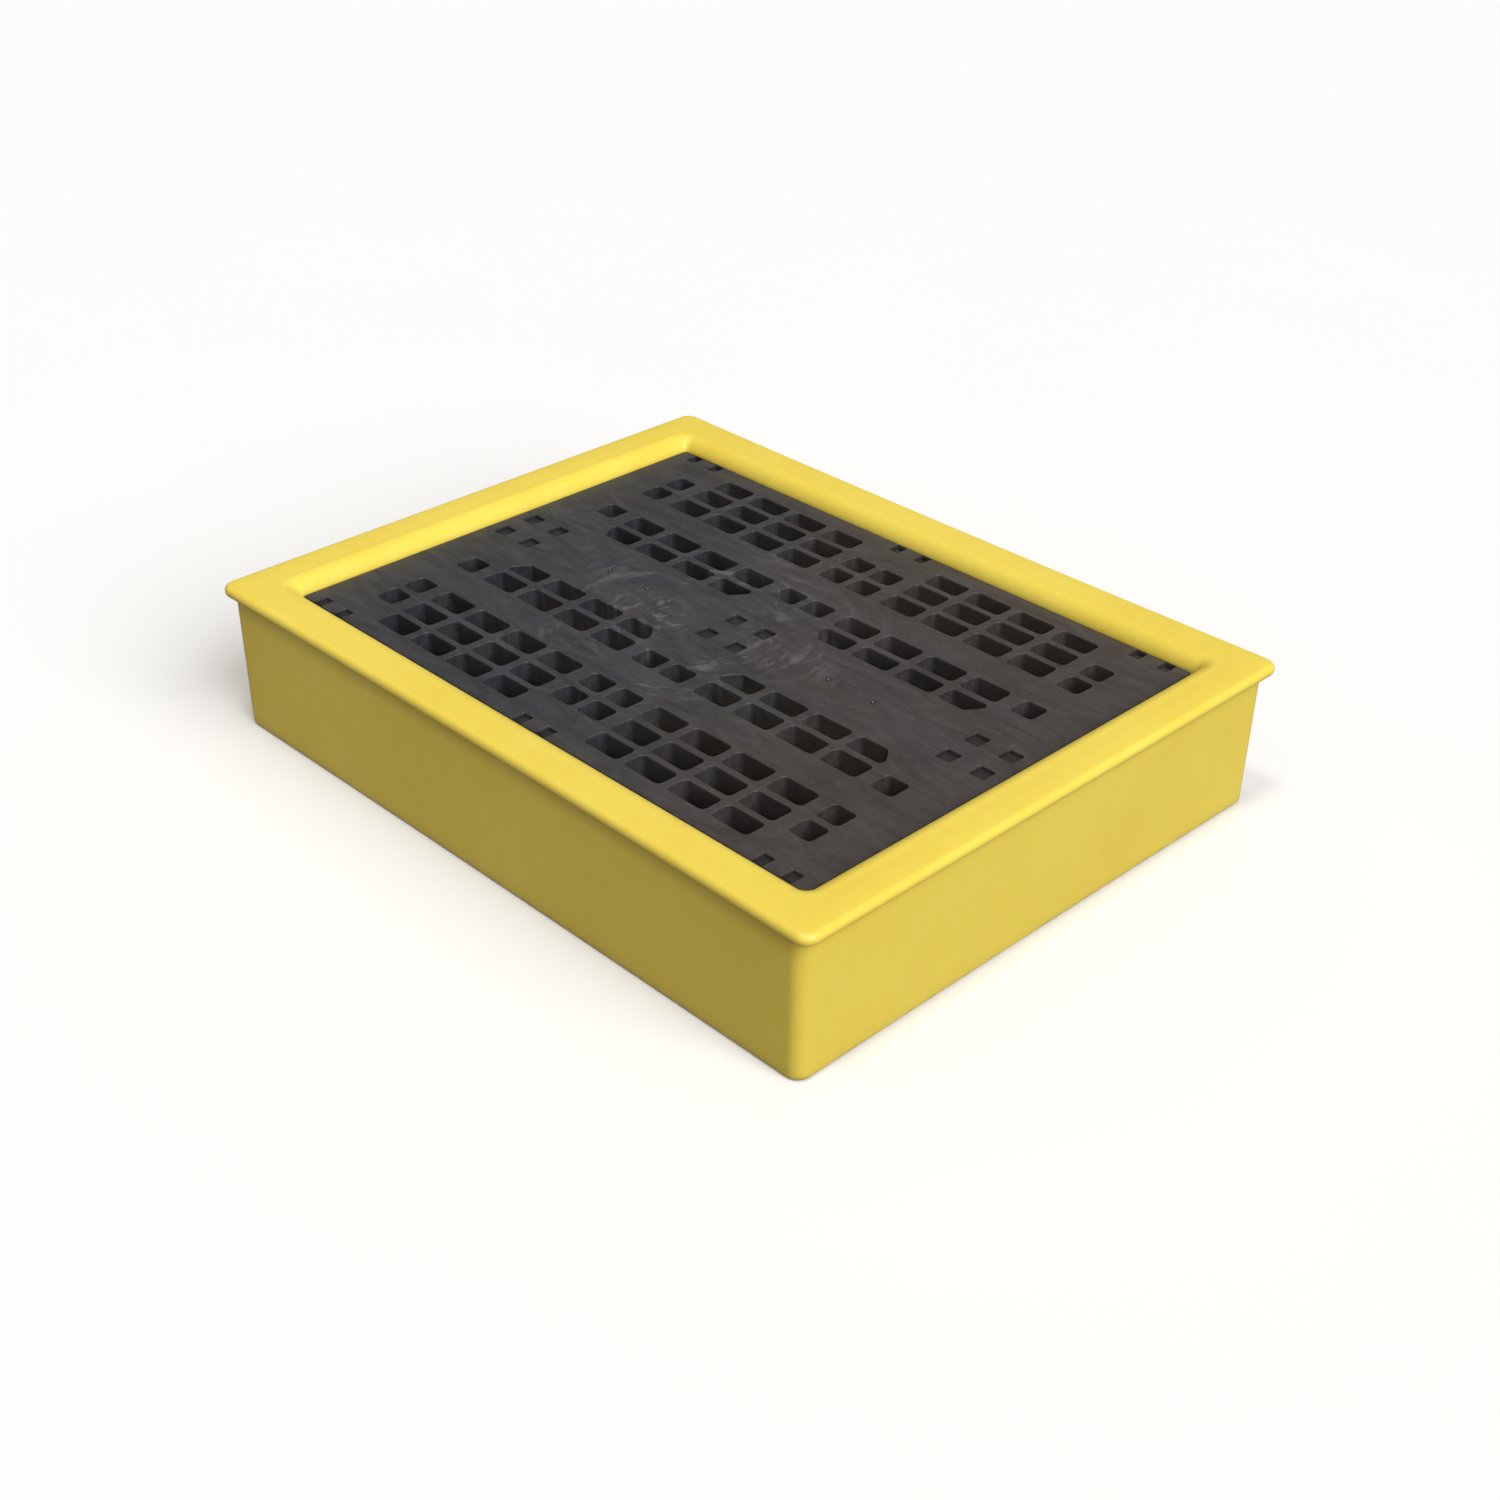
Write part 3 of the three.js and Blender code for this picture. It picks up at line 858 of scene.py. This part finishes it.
        edge, lip = self.well_edge, self.lip_radius
        straight = (self.support_top + self.well_foot, self.top - edge - self.under_fillet)
        for z in np.linspace(*straight, 4):
            row(self.well, self.well_corner, z, 0.0)
        for turn in np.linspace(0, math.pi / 2, 14):
            reach = edge * (1 - math.cos(turn))
            row(self.well + reach, self.well_corner + reach, self.top - edge * (1 - math.sin(turn)), 0.0)
        start, end = self.well + edge, self.rim - lip
        r0, r1 = self.well_corner + edge, self.rim_corner - lip
        for share in np.linspace(0, 1, 9)[1:-1]:
            dip = self.rim_crown * (2 * share - 1) ** 2
            row(start + (end - start) * share, r0 + (r1 - r0) * share, self.top - dip, share)
        for turn in np.linspace(0, math.pi, 15):
            reach = lip * math.sin(turn)
            row(end + reach, r1 + reach, self.top - self.rim_crown - lip * (1 - math.cos(turn)), 1.0)
        under = self.top - self.rim_crown - 2 * lip
        for turn in np.linspace(0, math.pi / 2, 5)[1:]:
            share = math.sin(turn)
            half = end + (self.wall - end) * share
            z = under - self.under_fillet * (1 - math.cos(turn))
            row(half, r1 + (self.wall_corner - r1) * share, z, 1.0)
        wall_top = self.top - lip
        for z in np.linspace(under - self.lip_to_wall, self.foot_radius, 12):
            row(self.wall - self.wall_draft * (1 - z / wall_top), self.wall_corner, z, 1.0)
        foot = self.wall - self.wall_draft
        for turn in np.linspace(0, math.pi / 2, 7)[1:]:
            back = self.foot_radius * (1 - math.cos(turn))
            row(foot - back, self.wall_corner - back, self.foot_radius * (1 - math.sin(turn)), 1.0)
        back = self.foot_radius + self.base_return
        row(foot - back, self.wall_corner - back, 0.0, 1.0)
        return np.array(rows)

    def _pinched(self, places: Array, out: Array) -> Array:
        """Draws the outer faces in a little between the corners, as cooling shrinks them.

        The draw is amount x (1 - (place along the side)^2), and the rim is drawn more than
        the base on the long sides and only the base on the short ones.

        Args:
            places: (..., 3) places.
            out: (...) share of the draw, 0 at the well and 1 outside.

        Returns:
            The moved places.
        """
        x, y, z = places[..., 0], places[..., 1], places[..., 2]
        rise = np.clip(z / self.top, 0, 1)
        along_x = 1 - np.clip(np.abs(x) / self.rim[0], 0, 1) ** 2
        along_y = 1 - np.clip(np.abs(y) / self.rim[1], 0, 1) ** 2
        side = self.base_pinch + (self.rim_pinch - self.base_pinch) * rise**2
        end = self.end_pinch * (1 - rise)
        on_side = np.clip(np.abs(y) / self.rim[1] * 6 - 5, 0, 1)
        on_end = np.clip(np.abs(x) / self.rim[0] * 8 - 7, 0, 1)
        moved = places.copy()
        moved[..., 1] -= np.sign(y) * side * along_x * out * on_side
        moved[..., 0] -= np.sign(x) * end * along_y * out * on_end
        return moved

    def build(self) -> bpy.types.Object:
        """Makes the tray's one skin: the floor grid, and the section carried round it.

        A ring point is (share x (half - radius) + radius x direction) for each section row.

        Returns:
            The tray piece.
        """
        floor, info = self._floor()
        nx, ny = floor.shape[:2]
        index = np.arange(nx * ny).reshape(nx, ny)
        ring = np.concatenate([index[:, 0], index[-1, 1:], index[-2::-1, -1], index[0, -2:0:-1]])
        ring_info = info.reshape(-1, 4)[ring]
        rows = self._profile()
        half, radius = rows[:, None, :2], rows[:, None, 2:3]
        plan = ring_info[None, :, 2:] * (half - radius) + radius * ring_info[None, :, :2]
        height = np.broadcast_to(rows[:, None, 3:4], plan.shape[:2] + (1,))
        outside = self._pinched(
            np.concatenate([plan, height], -1), np.broadcast_to(rows[:, None, 4], plan.shape[:2])
        )
        points = np.concatenate([floor.reshape(-1, 3), outside.reshape(-1, 3)])
        a, b = index[:-1, :-1], index[1:, :-1]
        c, d = index[1:, 1:], index[:-1, 1:]
        bed = np.stack([a, b, c, d], axis=-1).reshape(-1, 4)
        rings = np.concatenate(
            [ring[None], nx * ny + np.arange(len(rows) * len(ring)).reshape(len(rows), -1)]
        )
        after = np.roll(rings, -1, axis=1)
        skirt = np.stack([rings[:-1], after[:-1], after[1:], rings[1:]], axis=-1).reshape(-1, 4)
        piece = make_piece("tray_shell", points, [bed, skirt[:, ::-1]], 38)
        wall = piece.modifiers.new("skin", "SOLIDIFY")
        wall.thickness = self.skin
        wall.offset = -1
        wall.use_even_offset = False
        piece.data.materials.append(YellowPolyethylene().build())
        settle(piece, self.node, Body.TRAY)
        return piece


# ---- deck pallet -----------------------------------------------------------------------
@dataclass
class DeckPlate:
    """The slotted deck: drain cells in rows, hook windows over the feet, a skin on ribs."""

    node: str = "pallet_deck"
    corner: float = 0.006
    skin: float = 0.005
    rib: float = 0.005
    edge: float = 0.0013
    column_starts: tuple[float, ...] = (0.0066, 0.0875, 0.1782, 0.2730, 0.3678, 0.4719)
    column_ends: tuple[float, ...] = (0.0586, 0.1628, 0.2576, 0.3524, 0.4431, 0.5173)
    row_starts: tuple[float, ...] = (0.0864, 0.1388, 0.2527, 0.3097, 0.3657)
    row_ends: tuple[float, ...] = (0.1258, 0.1828, 0.2967, 0.3537, 0.4067)
    cell_corner: float = 0.0085
    wide_corner: tuple[float, float] = (0.020, 0.027)
    foot: float = 0.132
    foot_inset: float = 0.0032
    foot_to_cell: float = 0.0021
    socket_wall: float = 0.005
    window_pitch: float = 0.067
    window: float = 0.031
    window_corner: float = 0.004
    notch_pitch: float = 0.0572
    notch: tuple[float, float, float] = (0.023, 0.0255, 0.025)
    notch_wall: float = 0.0025
    notch_corner: float = 0.002
    socket_corner: float = 0.004
    pocket_corner: float = 0.003
    cut_ease: float = 0.14
    gates: tuple[float, ...] = (-0.316, -0.217, 0.214, 0.311)
    gate_rings: tuple[float, ...] = (0.0055, 0.0038, 0.0024, 0.0012)
    gate_heights: tuple[float, ...] = (0.0, -0.0009, 0.0004, 0.0010)

    def __post_init__(self) -> None:
        """Takes the deck's place from the frame."""
        low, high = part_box(self.node)
        self.low, self.high = np.array(low), np.array(high)
        self.half = self.high[:2]
        self.foot_x = self.half[0] - self.foot_inset - self.foot / 2
        self.foot_depth = self.half[1] - self.foot_inset - self.row_ends[3] - self.foot_to_cell
        self.foot_y = self.half[1] - self.foot_inset - self.foot_depth / 2

    def _cell(self, column: int, row: int, sign: tuple[int, int]) -> Array:
        """One drain cell's outline in the quarter that the signs name.

        Args:
            column: Column number from the middle.
            row: Row number from the middle.
            sign: Signs of x and y.

        Returns:
            The outline.
        """
        x0, x1 = self.column_starts[column], self.column_ends[column]
        y0, y1 = self.row_starts[row], self.row_ends[row]
        radii = np.full((4, 2), self.cell_corner)
        if row == 0 and column in (1, 4):
            radii[0 if column == 1 else 1] = self.wide_corner
        outline = rounded_outline(np.array([x0, y0]), np.array([x1, y1]), radii, 4)
        if row == 0 and column in (1, 4):
            outline = self._straightened(outline, 0 if column == 1 else 1)
        outline = outline * sign
        return outline if sign[0] * sign[1] > 0 else outline[::-1]

    def _straightened(self, outline: Array, corner: int) -> Array:
        """Turns a wide corner's arc into a straight cut with slightly eased ends.

        Args:
            outline: The cell's outline.
            corner: Which corner, from (low, low) anticlockwise.

        Returns:
            The changed outline.
        """
        steps = len(outline) // 4
        arc = outline[corner * steps : (corner + 1) * steps]
        share = np.linspace(0, 1, steps)[:, None]
        straight = arc[0] * (1 - share) + arc[-1] * share
        outline = outline.copy()
        eased = straight * (1 - self.cut_ease) + arc * self.cut_ease
        outline[corner * steps : (corner + 1) * steps] = eased
        return outline

    def _block(self, x: tuple[float, float], y: tuple[float, float], radius: float) -> Array:
        """A rounded rectangle between two x and two y."""
        low, high = np.array([min(x), min(y)]), np.array([max(x), max(y)])
        return rounded_outline(low, high, radius)

    def _pockets(self) -> list[tuple[tuple[float, float], tuple[float, float]]]:
        """Spans of the hollows under the blank bands of one quarter, between the ribs.

        Returns:
            A span in x and a span in y for each hollow.
        """
        rib, half_foot = self.rib, self.foot / 2
        gap = (self.column_starts[2] - self.column_ends[1]) / 2
        lines = [self.column_starts[i] - gap for i in (2, 3, 4)]
        stops = [half_foot + rib / 2, *lines, self.foot_x - half_foot - rib / 2]
        spans = [(a + rib / 2, b - rib / 2) for a, b in zip(stops, stops[1:])]
        cross = (self.row_ends[1] + rib, self.row_starts[2] - rib)
        beside = (half_foot + rib / 2, self.row_starts[1] - rib)
        outside = (self.column_ends[5] + rib, self.half[0] - rib)
        found = []
        for span in spans:
            found.append((span, (rib / 2, self.row_starts[0] - rib)))
            found.append((span, cross))
            found.append((span, (self.row_ends[4] + rib, self.half[1] - rib)))
        found.append(((rib / 2, half_foot), cross))
        found.append(((rib / 2, self.column_ends[0]), beside))
        found.append(((stops[-1] + rib / 2, outside[1]), cross))
        found.append(((self.column_starts[5], outside[1]), beside))
        found.append((outside, (self.row_starts[1], self.row_ends[1])))
        found.append((outside, (self.row_starts[2], self.foot_y - self.foot_depth / 2 - rib)))
        return found

    def _feet(self, solid: LayeredSolid) -> None:
        """Cuts the sockets, the hook windows and the windows along the long edges.

        Args:
            solid: The deck's solid.
        """
        roof = self.high[2] - self.skin
        for x in (-self.foot_x, 0.0, self.foot_x):
            for y in (-self.foot_y, 0.0, self.foot_y):
                depth = self.foot_depth if y else self.foot
                half = np.array([self.foot, depth]) / 2 - self.socket_wall
                span_x, span_y = (x - half[0], x + half[0]), (y - half[1], y + half[1])
                socket = self._block(span_x, span_y, self.socket_corner)
                solid.cut(socket, self.low[2], roof)
                for i in (-1, 1):
                    if y:
                        self._notch(solid, x + i * self.notch_pitch / 2, math.copysign(1, y))
                        continue
                    for j in (-1, 1):
                        centre = np.array([x + i * self.window_pitch / 2, j * self.window_pitch / 2])
                        window = rounded_outline(
                            centre - self.window / 2, centre + self.window / 2, self.window_corner
                        )
                        solid.cut(window, roof, self.high[2])

    def _notch(self, solid: LayeredSolid, x: float, side: float) -> None:
        """Cuts one window inside the thin wall of a long edge.

        Args:
            solid: The deck's solid.
            x: The window's middle along the edge.
            side: 1 for the +Y edge, -1 for the -Y edge.
        """
        width, reach, depth = self.notch
        y1 = side * (self.half[1] - self.notch_wall)
        y0 = y1 - side * reach
        outline = self._block((x - width / 2, x + width / 2), (y0, y1), self.notch_corner)
        solid.cut(outline, self.high[2] - depth, self.high[2])

    def _ring(self, x: float, radius: float) -> Array:
        """A circle on the deck's long centre line."""
        turn = np.linspace(0, 2 * math.pi, 13)[:-1]
        return np.stack([x + radius * np.cos(turn), radius * np.sin(turn)], axis=1)

    def build(self, finish: bpy.types.Material) -> bpy.types.Object:
        """Makes the deck.

        Args:
            finish: The deck's material.

        Returns:
            The deck piece.
        """
        solid = LayeredSolid(self.high[2], self.low[2], top_radius=self.edge, bottom_radius=0.0006)
        border = rounded_outline(-self.half, self.half, self.corner, 6)
        solid.add(border, self.low[2], self.high[2])
        quarters = [(1, 1), (-1, 1), (-1, -1), (1, -1)]
        for sign in quarters:
            for x, y in self._pockets():
                span_x = tuple(sign[0] * value for value in x)
                span_y = tuple(sign[1] * value for value in y)
                pocket = self._block(span_x, span_y, self.pocket_corner)
                solid.cut(pocket, self.low[2], self.high[2] - self.skin)
            for row in range(5):
                for column in range(6):
                    if row in (0, 4) and column in (0, 5):
                        continue
                    solid.cut(self._cell(column, row, sign), self.low[2], self.high[2])
        self._feet(solid)
        for gate in self.gates:
            for radius in self.gate_rings:
                solid.mark(self._ring(gate, radius))
        points, faces = solid.surface()
        for gate in self.gates:
            far = np.hypot(points[:, 0] - gate, points[:, 1])
            lift = np.interp(far, self.gate_rings[::-1], self.gate_heights[::-1])
            on_top = (points[:, 2] > self.high[2] - 1e-6) & (far < self.gate_rings[0])
            points[:, 2] += np.where(on_top, lift, 0)
        piece = make_piece("deck_plate", points, faces, 36)
        piece.data.materials.append(finish)
        settle(piece, self.node, Body.PALLET)
        return piece


@dataclass
class Foot:
    """One block under the deck: a spigot with a shallow pan and snap posts, and a peg below."""

    node: str
    spigot: float = 0.0053
    wall: float = 0.006
    base: float = 0.006
    pan: float = 0.006
    peg_margin: float = 0.020
    peg: float = 0.010
    shoulder_below_top: float = 0.0178
    corner: float = 0.006
    edge: float = 0.0008
    post: float = 0.0175
    post_pitch: float = 0.067
    edge_post: float = 0.0130
    edge_pitch: float = 0.0572
    edge_reach: float = 0.021
    post_rise: float = 0.0217
    post_corner: float = 0.003

    def _posts(self, low: Array, high: Array) -> list[Array]:
        """Outlines of the snap posts that stand under the windows: four, or two at an edge.

        Args:
            low: The foot's lowest corner.
            high: The foot's highest corner.

        Returns:
            The outlines.
        """
        centre = (low[:2] + high[:2]) / 2
        found = []
        for i in (-1, 1):
            if abs(centre[1]) > high[0] - low[0]:
                x = centre[0] + i * self.edge_pitch / 2
                y = math.copysign(abs(centre[1]) + (high[1] - low[1]) / 2 - self.spigot, centre[1])
                inner = y - math.copysign(self.edge_reach, y)
                start = np.array([x - self.edge_post, min(y, inner)])
                end = np.array([x + self.edge_post, max(y, inner)])
                found.append(rounded_outline(start, end, self.post_corner))
                continue
            for j in (-1, 1):
                middle = centre + np.array([i, j]) * self.post_pitch / 2
                found.append(
                    rounded_outline(middle - self.post, middle + self.post, self.post_corner)
                )
        return found

    def build(self, finish: bpy.types.Material) -> bpy.types.Object:
        """Makes the foot.

        Args:
            finish: The block's material.

        Returns:
            The foot piece.
        """
        low, high = (np.array(corner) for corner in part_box(self.node))
        inset = self.spigot
        floor = low[2] + self.peg + FIT
        top = high[2] + self.post_rise
        solid = LayeredSolid(top, low[2], top_radius=self.edge, bottom_radius=self.edge)

        def outline(margin: float) -> Array:
            """The block's outline, drawn in by a margin."""
            return rounded_outline(low[:2] + margin, high[:2] - margin, self.corner)

        solid.add(outline(0.0), floor, high[2] - self.shoulder_below_top)
        solid.add(outline(inset), floor, high[2])
        solid.cut(outline(inset + self.wall), high[2] - self.pan, high[2])
        solid.add(outline(self.peg_margin), low[2], floor + self.base)
        for post in self._posts(low, high):
            solid.add(post, high[2] - self.pan, top)
        points, faces = solid.surface()
        piece = make_piece(f"{self.node}_block", points, faces, 36)
        piece.data.materials.append(finish)
        settle(piece, self.node, Body.PALLET)
        return piece


@dataclass
class Runner:
    """One flat bar under a row of feet, its ends cut back below and its top troughed."""

    node: str
    feet: tuple[str, str, str]
    chamfer: float = 0.010
    wall: float = 0.006
    floor: float = 0.005
    peg_margin: float = 0.020
    peg_hole: float = 0.0103
    corner: float = 0.005
    edge: float = 0.0010
    end_zone: float = 0.0155
    end_mark: float = 0.016

    def build(self, finish: bpy.types.Material) -> bpy.types.Object:
        """Makes the runner.

        Args:
            finish: The bar's material.

        Returns:
            The runner piece.
        """
        low, high = (np.array(corner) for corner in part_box(self.node))
        solid = LayeredSolid(high[2], low[2], top_radius=self.edge)
        solid.add(rounded_outline(low[:2], high[:2], self.corner), low[2], high[2])
        inner = (low[:2] + self.end_mark, high[:2] - self.end_mark)
        solid.mark(rounded_outline(*inner, self.corner))
        boxes = [tuple(np.array(corner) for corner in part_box(foot)) for foot in self.feet]
        for foot_low, foot_high in boxes:
            hole = rounded_outline(
                foot_low[:2] + self.peg_margin - FIT, foot_high[:2] - self.peg_margin + FIT, self.corner
            )
            solid.cut(hole, high[2] - self.peg_hole, high[2])
        for left, right in zip(boxes, boxes[1:]):
            start, end = left[1][0], right[0][0]
            middle = (start + end) / 2
            for x0, x1 in ((start, middle - self.wall / 2), (middle + self.wall / 2, end)):
                near, far = np.array([x0, low[1] + self.wall]), np.array([x1, high[1] - self.wall])
                trough = rounded_outline(near, far, self.corner)
                solid.cut(trough, low[2] + self.floor, high[2])
        solid.heights.append(low[2] + self.chamfer)
        points, faces = solid.surface()
        near_end = np.abs(points[:, 0]) > high[0] - self.end_zone
        back = np.clip(self.chamfer - (points[:, 2] - low[2]), 0, None) * near_end
        points[:, 0] -= np.sign(points[:, 0]) * back
        piece = make_piece(f"{self.node}_bar", points, faces, 36)
        piece.data.materials.append(finish)
        settle(piece, self.node, Body.PALLET)
        return piece


# ---- studio ----------------------------------------------------------------------------
@dataclass
class Softbox:
    """A broad far softbox, which lights the whole floor evenly."""

    name: str
    azimuth: float
    elevation: float
    spread: float
    strength: float
    colour: tuple[float, float, float] = (1.0, 1.0, 1.0)

    def build(self) -> None:
        """Hangs the light, facing the middle of the floor."""
        light = bpy.data.lights.new(self.name, "SUN")
        light.angle = math.radians(self.spread)
        light.energy = self.strength
        light.color = self.colour
        lamp = bpy.data.objects.new(self.name, light)
        away = view_direction(self.azimuth, self.elevation)
        lamp.location = away * LAMP_DISTANCE
        lamp.rotation_mode = "QUATERNION"
        lamp.rotation_quaternion = (-away).to_track_quat("-Z", "Y")
        bpy.context.scene.collection.objects.link(lamp)


@dataclass
class Studio:
    """Pale floor, even sky, softboxes and the camera."""

    azimuth: float = 45.36
    elevation: float = 31.62
    roll: float = 0.682
    place: tuple[float, float, float] = (2.2721, -2.2066, 1.9683)
    lens: float = 52.094
    floor: tuple[float, float, float, float] = (0.86, 0.865, 0.88, 1.0)
    sky: float = 0.255
    sky_colour: tuple[float, float, float, float] = (1.0, 0.945, 0.86, 1.0)
    softboxes: tuple[Softbox, ...] = (
        Softbox("key_softbox", 84.0, 38.0, 48.0, 3.02, (1.0, 0.99, 0.985)),
        Softbox("top_softbox", 4.0, 73.0, 9.0, 0.62, (1.0, 0.95, 0.88)),
        Softbox("overhead_softbox", 52.0, 86.0, 14.0, 0.46),
    )

    def build(self) -> None:
        """Sets up floor, sky, lights and camera."""
        self._camera()
        self._floor()
        world = bpy.data.worlds.new("even_sky")
        world.use_nodes = True
        ground = world.node_tree.nodes["Background"]
        ground.inputs["Color"].default_value = self.sky_colour
        ground.inputs["Strength"].default_value = self.sky
        scene = bpy.context.scene
        scene.world = world
        scene.view_settings.view_transform = "Standard"
        for softbox in self.softboxes:
            softbox.build()

    def _floor(self) -> None:
        """Lays the floor just under the tray."""
        bench = Bench("pale_floor")
        tone = bench.blend(bench.noise(1.5), self.floor, (0.85, 0.855, 0.87, 1.0))
        bench.feed(bench.shader, Base_Color=tone, Roughness=0.9)
        ways = np.array([[-1, -1, 0], [1, -1, 0], [1, 1, 0], [-1, 1, 0]], float)
        corners = ways * FLOOR_REACH
        corners[:, 2] = CAD_BOX[0][2] - FLOOR_DROP
        floor = make_piece("floor", corners, [np.array([[0, 1, 2, 3]])], 30)
        floor.data.materials.append(bench.material)
        floor.visible_diffuse = False
        floor.visible_glossy = False

    def _camera(self) -> None:
        """Places the camera by its two view angles and a small roll."""
        turn, roll = math.radians(self.azimuth), math.radians(self.roll)
        back = view_direction(self.azimuth, self.elevation)
        flat = Vector((math.cos(turn), math.sin(turn), 0.0))
        upright = back.cross(flat)
        right = flat * math.cos(roll) + upright * math.sin(roll)
        up = back.cross(right)
        data = bpy.data.cameras.new("camera")
        data.sensor_width = 36.0
        data.lens = self.lens
        camera = bpy.data.objects.new("camera", data)
        axes = Matrix((right, up, back)).transposed().to_4x4()
        camera.matrix_world = Matrix.Translation(self.place) @ axes
        bpy.context.scene.collection.objects.link(camera)
        bpy.context.scene.camera = camera


def main() -> None:
    """Builds the tray, the pallet and the studio."""
    logging.basicConfig(level=logging.INFO, format="%(name)s %(message)s")
    Studio().build()
    SumpTray().build()
    deck = DeckPlate()
    top = float(deck.high[2])
    charcoal = CharcoalPolyethylene(
        "charcoal_deck",
        scuffed=0.42,
        hub=(-0.07, -0.03, top),
        gates=deck.gates,
    )
    deck.build(charcoal.build())
    block = CharcoalPolyethylene(
        "charcoal_blocks",
        cool=(0.0130, 0.0130, 0.0140, 1.0),
        warm=(0.0165, 0.0145, 0.0140, 1.0),
        chalk_and_highlight=(0.055, 0.055, 0.058, 1.0),
    ).build()
    for row in ("front", "middle", "back"):
        names = tuple(f"foot_{row}_{column}" for column in ("left", "centre", "right"))
        for name in names:
            Foot(name).build(block)
        Runner(f"runner_{row}", names).build(block)


if __name__ == "__main__":
    main()
